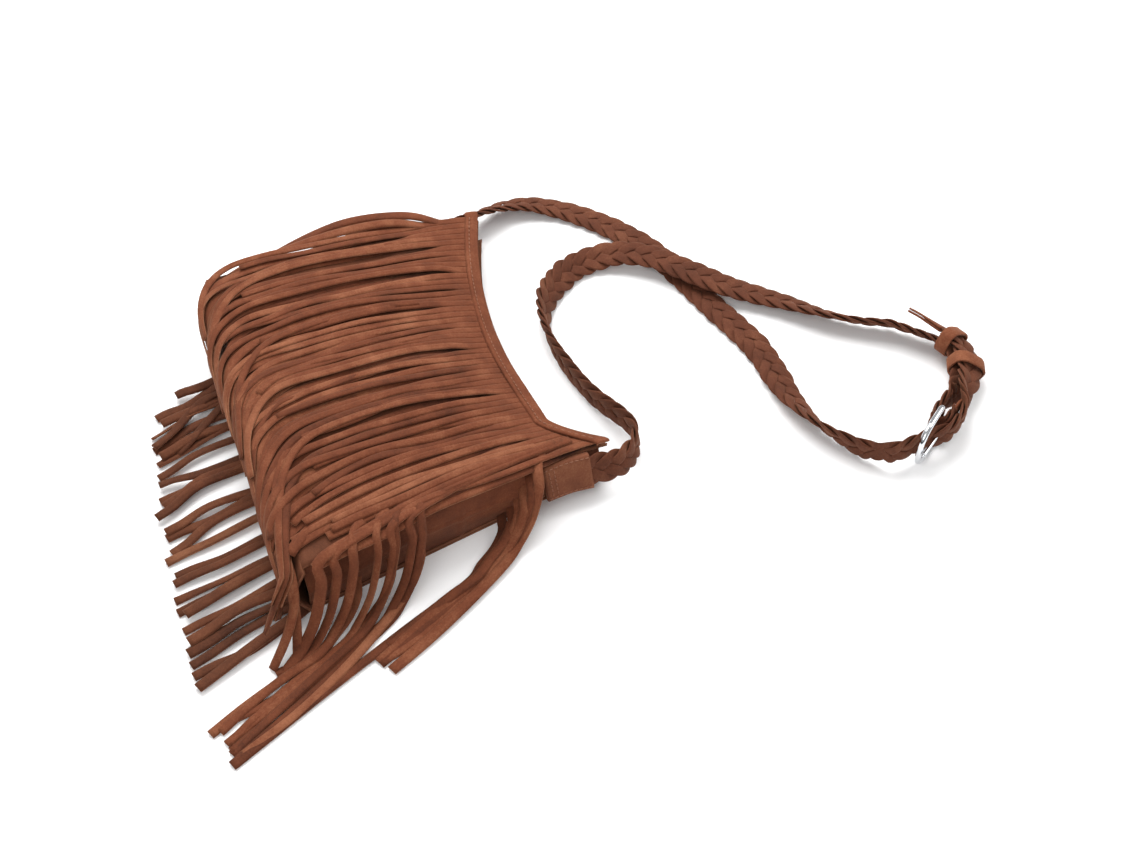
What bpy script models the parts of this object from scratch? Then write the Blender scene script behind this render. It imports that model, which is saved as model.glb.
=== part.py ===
"""Fringed suede bag lying on its back, front up. Metres, +Z up, +Y towards the bag's mouth.

The body is a front panel, a back panel and gussets. Slit fringe covers the front, hangs at both sides and
lies under the back. A flat braided strap runs from the two top corners to a buckle and two keepers.
"""
import math

import bmesh
import bpy
from mathutils import Vector

MM = 0.001

# Sheets
SUEDE = 1.8 * MM
GAP = 0.4 * MM
LAYER_GAP = 0.9 * MM

# Bag outline seen from above: bottom and top corners on the far (-X) and near (+X) sides
BOTTOM_FAR = Vector((-156 * MM, -43 * MM))
BOTTOM_NEAR = Vector((84 * MM, -65 * MM))
TOP_FAR = Vector((-150 * MM, 144 * MM))
TOP_NEAR = Vector((66 * MM, 134 * MM))
MOUTH_LOW = 109 * MM

# Height of the front panel's underside at the bottom edge and at the mouth
SIDE_HEIGHT = 42 * MM
SIDE_HEIGHT_MOUTH = 24 * MM
MIDDLE_HEIGHT = 48 * MM
MIDDLE_HEIGHT_MOUTH = 17 * MM
BOTTOM_BULGE = 7 * MM

# Fringe
SLIT = 1.0 * MM
YOKE = 0.90
STRIP_HALF = 2.9 * MM
FACE_ROWS = [0.95, YOKE, 0.78, 0.64, 0.5, 0.36, 0.2, 0.04]

# Strap
BRAID_WIDTH = 19 * MM
BRAID_THICKNESS = 4.4 * MM
LAYER = BRAID_THICKNESS / 2 + 1.1 * MM

KEEPER_GAP = 1.8 * MM
KEEPER_WIDTH = 9 * MM
KEEPER_THICKNESS = 1.5 * MM
TAB_WIDTH = 23 * MM
TAB_THICKNESS = 5 * MM
POINT_WIDTH = 15 * MM
POINT_THICKNESS = 3.4 * MM
POINT_STATIONS = 3
POINT_BLUNTNESS = 0.2

# Buckle: a rounded frame standing on edge, its bar upright
WIRE = 1.8 * MM
FRAME_HALF = 14.7 * MM
FRAME_DEPTH = 29.4 * MM
FRAME_CORNER = 11 * MM
BAR_FOOT = Vector((133.4 * MM, 330.6 * MM, WIRE + FRAME_HALF))
BUCKLE_ANGLE = math.atan2(-0.854, 0.52)
PRONG = 1.1 * MM
PRONG_EYE = 3.3 * MM

SUEDE_COLOUR = (0.26, 0.085, 0.035, 1.0)
DARK_SUEDE_COLOUR = (0.17, 0.055, 0.025, 1.0)
CHROME_COLOUR = (0.78, 0.79, 0.80, 1.0)

# Strap routes: x, y, height in mm, and tilt in degrees (0 lies flat, 90 stands on its edge)
NEAR_LEAD = [
    (77, 130, 20, 62), (76, 140, 18, 66), (68, 152, 15, 76), (55, 159, 13, 88), (41, 158, 12, 90),
    (26, 153, 11, 90), (10, 149, 10, 90), (-8, 147, 10, 90), (-26, 146, 10, 86), (-43, 147, 10, 78),
    (-59, 151, 10, 68), (-73, 158, 9, 56), (-86, 171, 8, 42), (-96, 188, 7, 30), (-99, 206, 7, 20),
    (-93, 225, 10, 10), (-81, 240, 11, 4), (-66, 252, 11, 0), (-49, 263, 11, 0), (-31, 278, 9, -2),
    (-18, 292, 7, -8), (-3, 306, 7, -20), (16, 320, 9, -38), (33, 337, 10, -50), (45, 354, 11, -52),
]
FAR_LEAD = [
    (-161, 130, 20, -58), (-164, 143, 17, -50), (-169, 157, 13, -38), (-172, 173, 9, -26), (-169, 190, 7, -14),
    (-160, 206, 4, -8), (-147, 219, 3, -3), (-130, 231, 3, 0), (-108, 243, 3, 0), (-83, 251, 3, 0),
    (-52, 257, 3, 0), (-24, 261, 3, 0), (-4, 265, 3, 0), (15, 268, 3, 0), (32, 268, 3, -2),
    (49, 266, 4, -8), (65, 264, 5, -18), (80, 264, 7, -34), (96, 266, 9, -52), (113, 272, 10, -70),
    (128, 280, 10, -84),
]
# Both straps lie together here; heights are those of the pair's middle
PAIR = [
    (62, 370.5, 13, -48), (72, 377, 13, -40), (84, 380, 13, -32), (98, 376, 13, -30), (110, 367, 14, -38),
    (117, 357.5, 15, -60),
]
TIP_LEAD = [(58.6, 372.2, 16.5, 47), (51, 370.5, 18.5, 48), (43, 368, 20, 48)]
NEAR_TAB = [(81, 93, 18, 62), (79, 112, 19, 62), (77, 128, 20, 62)]
FAR_TAB = [(-162, 93, 18, -58), (-161.5, 112, 19, -58), (-161, 128, 20, -58)]
# Places about the buckle's bar: along the buckle, and out from it, in mm
NEAR_FOLD = [
    (-22, -3.3), (-15, -4.2), (-8, -4.6), (-3, -4.6), (0, -4.5), (3.2, -3.2), (4.5, 0), (3.2, 3.2), (0, 4.5),
    (-4, 4.6), (-11, 4.6),
]
FAR_THREAD = [
    (38, -13), (31, -8.4), (26, -5.6), (20, -2.4), (14.5, 0.8), (10.5, 4.2), (6.5, 7.6), (1, 9.5), (-6, 9.9),
    (-12, 10.2), (-20, 8.6),
]


def clear_scene():
    for thing in list(bpy.data.objects):
        bpy.data.objects.remove(thing)


def material(name, colour, roughness, metallic=0.0):
    found = bpy.data.materials.get(name)
    if found:
        return found
    made = bpy.data.materials.new(name)
    made.use_nodes = True
    shader = made.node_tree.nodes["Principled BSDF"]
    shader.inputs["Base Color"].default_value = colour
    shader.inputs["Roughness"].default_value = roughness
    shader.inputs["Metallic"].default_value = metallic
    return made


def suede():
    return material("suede", SUEDE_COLOUR, 0.9)


def dark_suede():
    return material("suede_inner", DARK_SUEDE_COLOUR, 0.95)


def chrome():
    return material("chrome", CHROME_COLOUR, 0.12, 1.0)


def new_object(name, bm, finish, smooth=False):
    mesh = bpy.data.meshes.new(name)
    bm.to_mesh(mesh)
    bm.free()
    mesh.materials.append(finish)
    if smooth:
        mesh.shade_smooth()
        mesh.set_sharp_from_angle(angle=math.radians(40))
    made = bpy.data.objects.new(name, mesh)
    bpy.context.collection.objects.link(made)
    return made


def mix(a, b, t):
    return a + (b - a) * t


# --- the body's shape -------------------------------------------------------------------------------------

def mouth_line(s):
    """Y of the concave mouth edge, for s from 0 at the far corner to 1 at the near one."""
    far = max(0.0, (0.65 - s) / 0.65)
    near = max(0.0, (s - 0.85) / 0.15)
    return MOUTH_LOW + (TOP_FAR.y - MOUTH_LOW) * far ** 2 + (TOP_NEAR.y - MOUTH_LOW) * near ** 1.3


def outline(s, v):
    """Point of the bag's plan: s across from far to near, v from the bottom to the mouth."""
    low = BOTTOM_FAR.lerp(BOTTOM_NEAR, s)
    high = TOP_FAR.lerp(TOP_NEAR, s)
    return Vector((mix(low.x, high.x, v), mix(low.y, mouth_line(s), v)))


def front_height(s, v):
    """Height of the front panel's underside."""
    crown = 1 - (2 * s - 1) ** 2
    side = mix(SIDE_HEIGHT, SIDE_HEIGHT_MOUTH, v ** 3)
    middle = mix(MIDDLE_HEIGHT, MIDDLE_HEIGHT_MOUTH, v ** 3)
    return mix(side, middle, crown)


def on_front(s, v, lift):
    place = outline(s, v)
    return Vector((place.x, place.y, front_height(s, v) + lift))


def over_bottom(s, d, lift):
    """Point of a strip that turns over the bottom edge: d is the distance past that edge."""
    edge = outline(s, 0.0)
    top = front_height(s, 0.0) + lift
    out = BOTTOM_BULGE + lift + SUEDE
    turn = min(1.0, d / (20 * MM)) * math.pi / 2
    drop = max(0.0, d - 20 * MM)
    y = edge.y - out * math.sin(turn)
    z = top - 12 * MM * (1 - math.cos(turn)) - drop
    return Vector((edge.x, y, z))


def grid_sheet(name, columns, rows, place, finish, keep=None, thickness=SUEDE):
    """A cut sheet: a grid laid by place(a, b), with the faces that keep() refuses cut away."""
    bm = bmesh.new()
    wide = len(columns) - 1
    tall = len(rows) - 1
    bmesh.ops.create_grid(bm, x_segments=wide, y_segments=tall, size=0.5)
    cell = {}
    for vert in bm.verts:
        i = round((vert.co.x + 0.5) * wide)
        j = round((vert.co.y + 0.5) * tall)
        cell[vert] = (i, j)
    if keep:
        cut = [face for face in bm.faces if not keep(*[min(cell[v][k] for v in face.verts) for k in (0, 1)])]
        bmesh.ops.delete(bm, geom=cut, context="FACES")
    for vert in bm.verts:
        i, j = cell[vert]
        vert.co = place(columns[i], rows[j])
    made = new_object(name, bm, finish)
    solid = made.modifiers.new("Thickness", "SOLIDIFY")
    solid.thickness = thickness
    solid.offset = 1.0
    return made


def strip_columns(count, start=0.0, end=1.0, width=0.24):
    """Column edges for a comb: a strip, a slit, a strip and so on. width is the comb's own width."""
    slit = SLIT / width * (end - start)
    strip = ((end - start) - slit * (count - 1)) / count
    edges = []
    for number in range(count):
        left = start + number * (strip + slit)
        edges += [left, left + strip]
    return edges


def slit_comb(yoke_rows):
    """Keep every strip, and the slits only in the rows of the yoke."""
    return lambda i, j: i % 2 == 0 or j < yoke_rows


# --- body panels ------------------------------------------------------------------------------------------

def spread(count, start=0.0, end=1.0):
    return [mix(start, end, k / count) for k in range(count + 1)]


def back_panel():
    level = SUEDE + GAP
    return grid_sheet("back_panel", spread(12), spread(2),
                      lambda s, v: Vector((*outline(s, v), level)), dark_suede())


def front_panel():
    rows = [0.0] + FACE_ROWS[::-1] + [1.0]
    return grid_sheet("front_panel", spread(20), rows, lambda s, v: on_front(s, v, 0.0), suede())


def side_gusset(name, s, outwards):
    inset = 2.6 * MM
    floor = 2 * (SUEDE + GAP) + GAP
    ends = spread(8, 0.02, 0.97)

    def place(v, h):
        edge = outline(s, v)
        top = front_height(s, v) - GAP - 0.6 * MM
        bow = 3.0 * MM * math.sin(math.pi * h)
        x = edge.x - outwards * (inset - bow)
        return Vector((x, edge.y, mix(floor, top, h)))

    columns = ends if outwards > 0 else ends[::-1]
    return grid_sheet(name, columns, spread(4), place, dark_suede())


def bottom_gusset():
    floor = 2 * (SUEDE + GAP) + GAP

    def place(s, h):
        edge = outline(s, 0.0)
        top = front_height(s, 0.0) - GAP - 0.6 * MM
        bow = BOTTOM_BULGE * math.sin(math.pi * h) - 1.0 * MM
        return Vector((edge.x, edge.y - bow, mix(floor, top, h)))

    return grid_sheet("bottom_gusset", spread(12), spread(4), place, suede())


# --- fringe -----------------------------------------------------------------------------------------------

def front_fringe_long():
    lift = SUEDE + LAYER_GAP
    rows = [0.99] + FACE_ROWS + [0.0, -8, -20, -32, -44]

    def place(s, row):
        if row >= 0:
            return on_front(s, row, lift)
        return over_bottom(s, -row * MM, lift)

    return grid_sheet("front_fringe_long", strip_columns(30)[::-1], rows, place, suede(), slit_comb(2))


def front_fringe_short():
    lift = 2 * (SUEDE + LAYER_GAP)
    rows = [1.0] + FACE_ROWS[:-1]
    return grid_sheet("front_fringe_short", strip_columns(26)[::-1], rows,
                      lambda s, v: on_front(s, v, lift), suede(), slit_comb(2))


def back_fringe():
    rows = [0.99, 0.86, 0.5, 0.1, -40, -62]

    def place(s, row):
        if row > 0:
            return Vector((*outline(s, row), 0.0))
        edge = outline(s, 0.0)
        return Vector((edge.x, edge.y + row * MM, 0.0))

    return grid_sheet("back_fringe", strip_columns(28)[::-1], rows, place, dark_suede(), slit_comb(1))


def smooth_route(points, step):
    """Points every step along a Catmull-Rom curve through the route's own points."""
    route = [Vector(p) for p in points]
    ends = [route[0] * 2 - route[1]] + route + [route[-1] * 2 - route[-2]]
    fine = []
    for a, b, c, d in zip(ends, ends[1:], ends[2:], ends[3:]):
        for k in range(12):
            t = k / 12
            fine.append(0.5 * ((2 * b) + (c - a) * t + (2 * a - 5 * b + 4 * c - d) * t * t
                               + (3 * b - a - 3 * c + d) * t ** 3))
    fine.append(route[-1])
    chosen = [fine[0]]
    run = 0.0
    for before, after in zip(fine, fine[1:]):
        run += (after.to_3d() - before.to_3d()).length
        if run >= step:
            chosen.append(after)
            run = 0.0
    if (chosen[-1].to_3d() - fine[-1].to_3d()).length > step * 0.4:
        chosen.append(fine[-1])
    else:
        chosen[-1] = fine[-1]
    return chosen


def band(name, stations, width, thickness, finish, closed=False, profile=None):
    """A flat band swept through stations of (centre, width direction, normal)."""
    bm = bmesh.new()
    half = profile or [(-1, -0.5), (-0.8, -1), (0.8, -1), (1, -0.5), (1, 0.5), (0.8, 1), (-0.8, 1), (-1, 0.5)]
    rings = []
    for centre, across, normal in stations:
        made = bmesh.ops.create_circle(bm, segments=len(half), radius=1.0)["verts"]
        for vert, (a, b) in zip(made, half):
            vert.co = centre + across * (a * width / 2) + normal * (b * thickness / 2)
        rings.append([edge for edge in bm.edges if all(v in made for v in edge.verts)])
    count = len(rings)
    for number in range(count if closed else count - 1):
        bmesh.ops.bridge_loops(bm, edges=rings[number] + rings[(number + 1) % count])
    if not closed:
        bmesh.ops.holes_fill(bm, edges=[e for e in bm.edges if e.is_boundary])
    bmesh.ops.recalc_face_normals(bm, faces=bm.faces)
    return new_object(name, bm, finish, smooth=True)


def hanging_fringe(name, routes, finish, samples=8):
    """A slit sheet sewn in a side seam: each strip follows its own route from the seam to the floor."""
    paths = []
    for route in routes:
        points = [Vector(p) * MM for p in route]
        path = smooth_route(points, 2 * MM)
        paths.append([path[round(k * (len(path) - 1) / samples)] for k in range(samples + 1)])
    outwards = 1 if paths[0][0].x > 0 else -1

    def place(column, k):
        number, side = column
        path = paths[number]
        along = path[min(k + 1, samples)] - path[max(k - 1, 0)]
        if k == 0 or abs(along.x) + abs(along.y) < abs(along.z) * 0.3:
            along = Vector((outwards, 0, 0))
        across = Vector((-along.y, along.x, 0)).normalized()
        here = path[k] + across * side * STRIP_HALF
        here.z = max(here.z, 0.0)
        return here

    order = range(len(routes))[::-outwards]
    columns = [(number, side) for number in order for side in (1, -1)]
    return grid_sheet(name, columns, range(samples + 1), place, finish, slit_comb(1))


def seam_x(s, y):
    """X of the side seam at a height y up the bag."""
    low = outline(s, 0.0)
    high = outline(s, 1.0)
    return mix(low.x, high.x, (y - low.y) / (high.y - low.y)) / MM


def side_fringe_near():
    """Its strips fall over the near side and turn on the floor towards the bag's bottom."""
    count = 8
    routes = []
    for n in range(count):
        root = mix(4, 82, n / (count - 1))
        seam = seam_x(1.0, root * MM) + 3.2
        lane = 100 + 6.9 * n
        if n < 4:
            end = [(lane + 6, -45, 0), (lane + 20, -95, 0), (139 + 6.5 * n, -143.5, 0)]
        else:
            end = [(lane, -15, 0), (lane, -46, 0)]
        routes.append([(seam, root, 38), (mix(seam, 93, 0.5), root - 2, 33), (97 + 2.6 * n, root - 9, 16),
                       (lane - 3, root - 22, 3), (lane - 1, root - 36, 0.2)] + end)
    return hanging_fringe("side_fringe_near", routes, suede())


def side_fringe_far():
    """Its strips hang down the far side."""
    routes = []
    for n in range(8):
        root = -30 + 11 * n
        seam = seam_x(0.0, root * MM) - 3.0
        routes.append([(seam, root, 36), (seam - 2.2, root, 33), (seam - 2.4, root, 22), (-158.2, root, 4)])
    return hanging_fringe("side_fringe_far", routes, suede(), samples=4)


# --- strap ------------------------------------------------------------------------------------------------

def strap_frame(before, after, tilt):
    """Width direction and outer normal of a strap that runs from before to after."""
    along = (after - before).normalized()
    side = Vector((along.y, -along.x, 0)).normalized()
    up = side.cross(along).normalized()
    across = side * math.cos(tilt) - up * math.sin(tilt)
    normal = along.cross(across).normalized()
    return across, -normal


def rest_height(tilt):
    """Lowest height at which a strap of this tilt clears the floor."""
    wide = BRAID_WIDTH / 2 * abs(math.sin(tilt))
    thick = BRAID_THICKNESS / 2 * abs(math.cos(tilt))
    return wide + thick + 0.3 * MM


def stations_of(route, step, lift=0.0):
    """Strap stations from (x, y, height, tilt) points in mm and degrees."""
    fine = smooth_route([Vector(p) for p in route], step)
    made = []
    for number, point in enumerate(fine):
        tilt = math.radians(point[3])
        before = fine[max(number - 1, 0)].to_3d() * MM
        after = fine[min(number + 1, len(fine) - 1)].to_3d() * MM
        before.z = after.z = 0.0
        centre = point.to_3d() * MM
        centre.z = max(centre.z, rest_height(tilt))
        across, normal = strap_frame(before, after, tilt)
        made.append((centre + normal * lift, across, normal))
    return made


def buckle_place(along, out, height=0.0):
    """World point of a place about the bar: along the buckle, out from it, and up from its middle."""
    cos = math.cos(BUCKLE_ANGLE)
    sin = math.sin(BUCKLE_ANGLE)
    return BAR_FOOT + Vector((along * cos - out * sin, along * sin + out * cos, height))


def upright_stations(places):
    """Stations of a strap on its edge, from places about the buckle's bar."""
    points = [buckle_place(u * MM, v * MM) for u, v in places]
    made = []
    for number, point in enumerate(points):
        along = (points[min(number + 1, len(points) - 1)] - points[max(number - 1, 0)]).normalized()
        made.append((point, Vector((0, 0, 1)), Vector((along.y, -along.x, 0))))
    return made


def aligned(stations):
    """Turn each station's width direction the way of the one before it, so that the band doesn't flip."""
    made = [stations[0]]
    for centre, across, normal in stations[1:]:
        if across.dot(made[-1][1]) < 0:
            across = -across
            normal = -normal
        made.append((centre, across, normal))
    return made


def strap_body(name, stations):
    return band(name, aligned(stations), BRAID_WIDTH, BRAID_THICKNESS, suede())


def cut_with(target, cutter):
    cutter.hide_render = True
    cutter.display_type = "WIRE"
    cut = target.modifiers.new("Cut", "BOOLEAN")
    cut.operation = "DIFFERENCE"
    cut.object = cutter


def slot_cutter(name, low, high, height):
    """A box about the buckle's bar, from low to high (along, out), of the given height."""
    bm = bmesh.new()
    bmesh.ops.create_cube(bm, size=1.0)
    for vert in bm.verts:
        u = mix(low[0], high[0], vert.co.x + 0.5) * MM
        v = mix(low[1], high[1], vert.co.y + 0.5) * MM
        vert.co = buckle_place(u, v, vert.co.z * height)
    bmesh.ops.recalc_face_normals(bm, faces=bm.faces)
    return new_object(name, bm, suede())


def pair_stations(lift):
    return stations_of(PAIR, 6.0, lift)


def strap_near():
    lead = stations_of(NEAR_LEAD, 8.0)
    fold = upright_stations(NEAR_FOLD)
    made = strap_body("strap_near", lead + pair_stations(-LAYER) + fold)
    cut_with(made, slot_cutter("fold_slot", (-5.4, -5.4), (9, 9), 2 * PRONG + 1.6 * MM))
    return made


def strap_far():
    lead = stations_of(FAR_LEAD, 8.0)
    thread = upright_stations(FAR_THREAD)
    pair = pair_stations(LAYER)[::-1]
    made = strap_body("strap_far", lead + thread + pair)
    cut_with(made, slot_cutter("thread_slot", (2, -6), (25, 13), 2 * PRONG + 1.6 * MM))
    return made


def strap_point():
    """The tongue that ends the far strap, narrowing to a blunt point."""
    tip = aligned(stations_of(TIP_LEAD, 4.0, LAYER))
    last = len(tip) - 1
    narrowed = []
    for number, (centre, across, normal) in enumerate(tip):
        share = min(1.0, POINT_BLUNTNESS + (1 - POINT_BLUNTNESS) * (last - number) / POINT_STATIONS)
        narrowed.append((centre, across * share, normal))
    return band("strap_point", narrowed, POINT_WIDTH, POINT_THICKNESS, suede())


def keeper(name, share):
    """A suede loop around both straps, at a share of the way along their shared stretch."""
    pair = aligned(pair_stations(0.0))
    number = round(share * (len(pair) - 1))
    centre, across, normal = pair[number]
    along = across.cross(normal).normalized()
    half_width = BRAID_WIDTH / 2 + KEEPER_GAP
    half_stack = 2 * LAYER + KEEPER_GAP
    corner = 2.5 * MM
    stations = []
    for k in range(16):
        angle = 2 * math.pi * (k + 0.5) / 16
        out = across * math.cos(angle) + normal * math.sin(angle)
        core = (across * math.copysign(half_width - corner, math.cos(angle))
                + normal * math.copysign(half_stack - corner, math.sin(angle)))
        stations.append((centre + core + out * corner, along, out))
    return band(name, stations, KEEPER_WIDTH, KEEPER_THICKNESS, suede(), closed=True)


def corner_tab(name, route):
    return band(name, aligned(stations_of(route, 12.0)), TAB_WIDTH, TAB_THICKNESS, suede())


# --- buckle -----------------------------------------------------------------------------------------------

def wire_loop(name, places, radius, finish, closed):
    """Round wire through places (along, out, up) about the buckle's bar, in metres."""
    curve = bpy.data.curves.new(name, "CURVE")
    curve.dimensions = "3D"
    curve.bevel_depth = radius
    curve.bevel_resolution = 2
    curve.use_fill_caps = True
    spline = curve.splines.new("POLY")
    spline.points.add(len(places) - 1)
    for point, place in zip(spline.points, places):
        point.co = (*place, 1)
    spline.use_cyclic_u = closed
    curve.materials.append(finish)
    made = bpy.data.objects.new(name, curve)
    bpy.context.collection.objects.link(made)
    return made


def at_bar(made):
    """Put a buckle piece's origin on the bar's axis."""
    made.location = BAR_FOOT
    made.rotation_euler.z = BUCKLE_ANGLE
    return made


def buckle_frame():
    corner = FRAME_CORNER
    places = [(0, 0, -FRAME_HALF), (0, 0, FRAME_HALF)]
    for k in range(7):
        turn = math.pi / 2 * (1 - k / 6)
        places.append((FRAME_DEPTH - corner + corner * math.cos(turn), 0,
                       FRAME_HALF - corner + corner * math.sin(turn)))
    for k in range(7):
        turn = -math.pi / 2 * k / 6
        places.append((FRAME_DEPTH - corner + corner * math.cos(turn), 0,
                       corner - FRAME_HALF + corner * math.sin(turn)))
    return at_bar(wire_loop("buckle_frame", places, WIRE, chrome(), True))


def buckle_prong():
    places = []
    for k in range(9):
        turn = math.radians(420 - 300 * k / 8)
        places.append((PRONG_EYE * math.cos(turn), PRONG_EYE * math.sin(turn), 0))
    places[-1] = (0.2 * MM, PRONG_EYE, 0)
    places += [(10 * MM, PRONG_EYE, 0), (FRAME_DEPTH + 1 * MM, PRONG_EYE, 0)]
    return at_bar(wire_loop("buckle_prong", places, PRONG, chrome(), False))


def main():
    clear_scene()
    back_panel()
    front_panel()
    side_gusset("side_gusset_near", 1.0, 1)
    side_gusset("side_gusset_far", 0.0, -1)
    bottom_gusset()
    front_fringe_long()
    front_fringe_short()
    back_fringe()
    side_fringe_near()
    side_fringe_far()
    strap_near()
    strap_far()
    strap_point()
    keeper("keeper_tip_side", 0.25)
    keeper("keeper_buckle_side", 0.62)
    corner_tab("corner_tab_near", NEAR_TAB)
    corner_tab("corner_tab_far", FAR_TAB)
    buckle_frame()
    buckle_prong()


main()
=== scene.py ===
"""Fringed suede bag lying on its back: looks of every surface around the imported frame."""
import math
import random

import bmesh
import bpy
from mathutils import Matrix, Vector, noise


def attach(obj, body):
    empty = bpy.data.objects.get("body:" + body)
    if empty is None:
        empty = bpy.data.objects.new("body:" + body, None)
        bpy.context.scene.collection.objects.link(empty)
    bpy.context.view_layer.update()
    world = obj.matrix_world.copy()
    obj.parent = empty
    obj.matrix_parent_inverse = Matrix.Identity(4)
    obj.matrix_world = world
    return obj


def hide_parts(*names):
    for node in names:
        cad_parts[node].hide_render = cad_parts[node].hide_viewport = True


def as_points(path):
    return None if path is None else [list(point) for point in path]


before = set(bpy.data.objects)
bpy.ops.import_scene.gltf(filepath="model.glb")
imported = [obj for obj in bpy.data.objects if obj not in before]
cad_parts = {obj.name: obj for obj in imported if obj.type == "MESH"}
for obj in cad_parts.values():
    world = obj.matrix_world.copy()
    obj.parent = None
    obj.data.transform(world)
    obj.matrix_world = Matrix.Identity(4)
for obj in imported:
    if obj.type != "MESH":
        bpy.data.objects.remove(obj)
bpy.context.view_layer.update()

MM = 0.001
BODY = "bag"

# --- the frame's own outline ------------------------------------------------------------------------------
BOTTOM_FAR = Vector((-156, -43)) * MM
BOTTOM_NEAR = Vector((84, -65)) * MM
TOP_FAR = Vector((-150, 144)) * MM
TOP_NEAR = Vector((66, 134)) * MM
MOUTH_LOW = 109 * MM
SIDE_HEIGHT = 42 * MM
SIDE_HEIGHT_MOUTH = 24 * MM
MIDDLE_HEIGHT = 48 * MM
MIDDLE_HEIGHT_MOUTH = 17 * MM
BOTTOM_BULGE = 7 * MM
SUEDE = 1.8 * MM
BAG_WIDTH = 236 * MM
HEM_DEPTH = 9 * MM

# --- strap ------------------------------------------------------------------------------------------------
BRAID_WIDTH = 20 * MM
BRAID_THICKNESS = 4.4 * MM
STRANDS = 5
STRAND_WIDTH = 8.6 * MM
STRAND_THICKNESS = 1.7 * MM
BRAID_PITCH = 56 * MM
LAYER = BRAID_THICKNESS / 2 + 1.1 * MM
KEEPER_WIDTH = 9 * MM
KEEPER_GAP = 1.8 * MM
WIRE = 1.8 * MM
FRAME_HALF = 14.7 * MM
FRAME_DEPTH = 29.4 * MM
FRAME_CORNER = 11 * MM
BAR_FOOT = Vector((133.4 * MM, 330.6 * MM, WIRE + FRAME_HALF))
BUCKLE_ANGLE = math.atan2(-0.854, 0.52)
PRONG = 1.1 * MM
PRONG_EYE = 3.3 * MM

# Routes: x, y, height in mm, and tilt in degrees (0 lies flat, 90 stands on its edge)
NEAR_LEAD = [
    (77, 130, 20, 62), (76, 140, 18, 66), (68, 152, 15, 76), (55, 159, 13, 88), (41, 158, 12, 90),
    (26, 153, 11, 90), (10, 149, 10, 90), (-8, 147, 10, 90), (-26, 146, 10, 86), (-43, 147, 10, 78),
    (-59, 151, 10, 68), (-73, 158, 9, 56), (-86, 171, 8, 42), (-96, 188, 7, 30), (-99, 206, 7, 20),
    (-93, 225, 10, 10), (-81, 240, 11, 4), (-66, 252, 11, 0), (-49, 263, 11, 0), (-31, 278, 9, -2),
    (-18, 292, 7, -8), (-3, 306, 7, -20), (16, 320, 9, -38), (33, 337, 10, -50), (45, 354, 11, -52),
]
FAR_LEAD = [
    (-161, 130, 20, -58), (-164, 143, 17, -50), (-169, 157, 13, -38), (-172, 173, 9, -26), (-169, 190, 7, -14),
    (-160, 206, 4, -8), (-147, 219, 3, -3), (-130, 231, 3, 0), (-108, 243, 3, 0), (-83, 251, 3, 0),
    (-52, 257, 3, 0), (-24, 261, 3, 0), (-4, 265, 3, 0), (15, 268, 3, 0), (32, 268, 3, -2),
    (49, 266, 4, -8), (65, 264, 5, -18), (80, 264, 7, -34), (96, 266, 9, -52), (113, 272, 10, -70),
    (128, 280, 10, -84),
]
PAIR = [
    (62, 370.5, 13, -48), (72, 377, 13, -40), (84, 380, 13, -32), (98, 376, 13, -30), (110, 367, 14, -38),
    (117, 357.5, 15, -60),
]
TIP_LEAD = [(60, 371.6, 14.6, 46), (53, 369, 14.8, 48), (46, 365.5, 15.2, 48)]
TIP_START = (70, 376, 13.6, 42)
# The straps begin inside the tabs, which end a little past them
NEAR_START = (75.4, 115, 20.4, 63)
FAR_START = (-161.2, 117, 19.4, -58)
NEAR_TAB = [(74, 88, 21, 66), (74, 103, 21.2, 65), (75.6, 118, 20.4, 63)]
FAR_TAB = [(-162, 90, 17.5, -58), (-161.5, 106, 18.8, -58), (-161, 120, 19.6, -58)]
# Places about the buckle's bar in mm: along the buckle, and out from it
NEAR_FOLD = [
    (-22, -3.3), (-15, -4.2), (-8, -4.6), (-3, -4.6), (0, -4.5), (3.2, -3.2), (4.5, 0), (3.2, 3.2), (0, 4.5),
    (-4, 4.6), (-11, 4.6),
]
FAR_THREAD = [
    (38, -13), (31, -8.4), (26, -5.6), (20, -2.4), (14.5, 0.8), (10.5, 4.2), (6.5, 7.6), (1, 9.5), (-6, 9.9),
    (-12, 10.2), (-20, 8.6),
]


# --- near side fringe -------------------------------------------------------------------------------------
# How a strip slips over the near edge, in mm: outwards and towards the bottom while it falls
FALL_OUT = 27
FALL_ALONG = 33
FLOOR_LAYERS = (1.0, 2.2, 3.4)
# Bundles of strips: how many, width, sideways spread, first and last place where they leave the edge (y),
# how far above it they start, height they leave from as a share of the side, first and last tip
NEAR_BUNDLES = (
    (5, 5.8, 1.0, (84, 66), 9, (0.95, 0.30), ((140, -43), (129, -37))),
    (1, 5.8, 1.0, (58, 58), 14, (0.15, 0.15), ((160, -134), (160, -134))),
    (2, 4.6, 2.4, (0, -10), 106, (1.0, 1.0), ((150, -137), (136, -139))),
    (4, 4.6, 2.4, (8, -36), 12, (1.0, 1.0), ((157, -132), (138, -141))),
    (3, 4.6, 2.4, (6, -34), 10, (0.45, 0.28), ((155, -132), (139, -142))),
    (2, 5.6, 0.6, (-46, -56), 158, (1.0, 1.0), ((116, -94), (110, -84))),
)
# Tips of the back's strips, in mm: first and last, and how early their line turns
BACK_STRIPS = 27
BACK_TIP_X = (-104, 107)
BACK_TIP_Y = (-92, -144)
BACK_TIP_CURVE = 0.45
# Strips along the bottom edge that drop over the near bottom corner
CORNER_STRIPS = 2
CORNER_TIPS = ((108, -82), (112, -98))


def mix(a, b, t):
    return a + (b - a) * t


def smooth_step(t):
    t = min(1.0, max(0.0, t))
    return t * t * (3 - 2 * t)


# --- camera, light and floor ------------------------------------------------------------------------------

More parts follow.
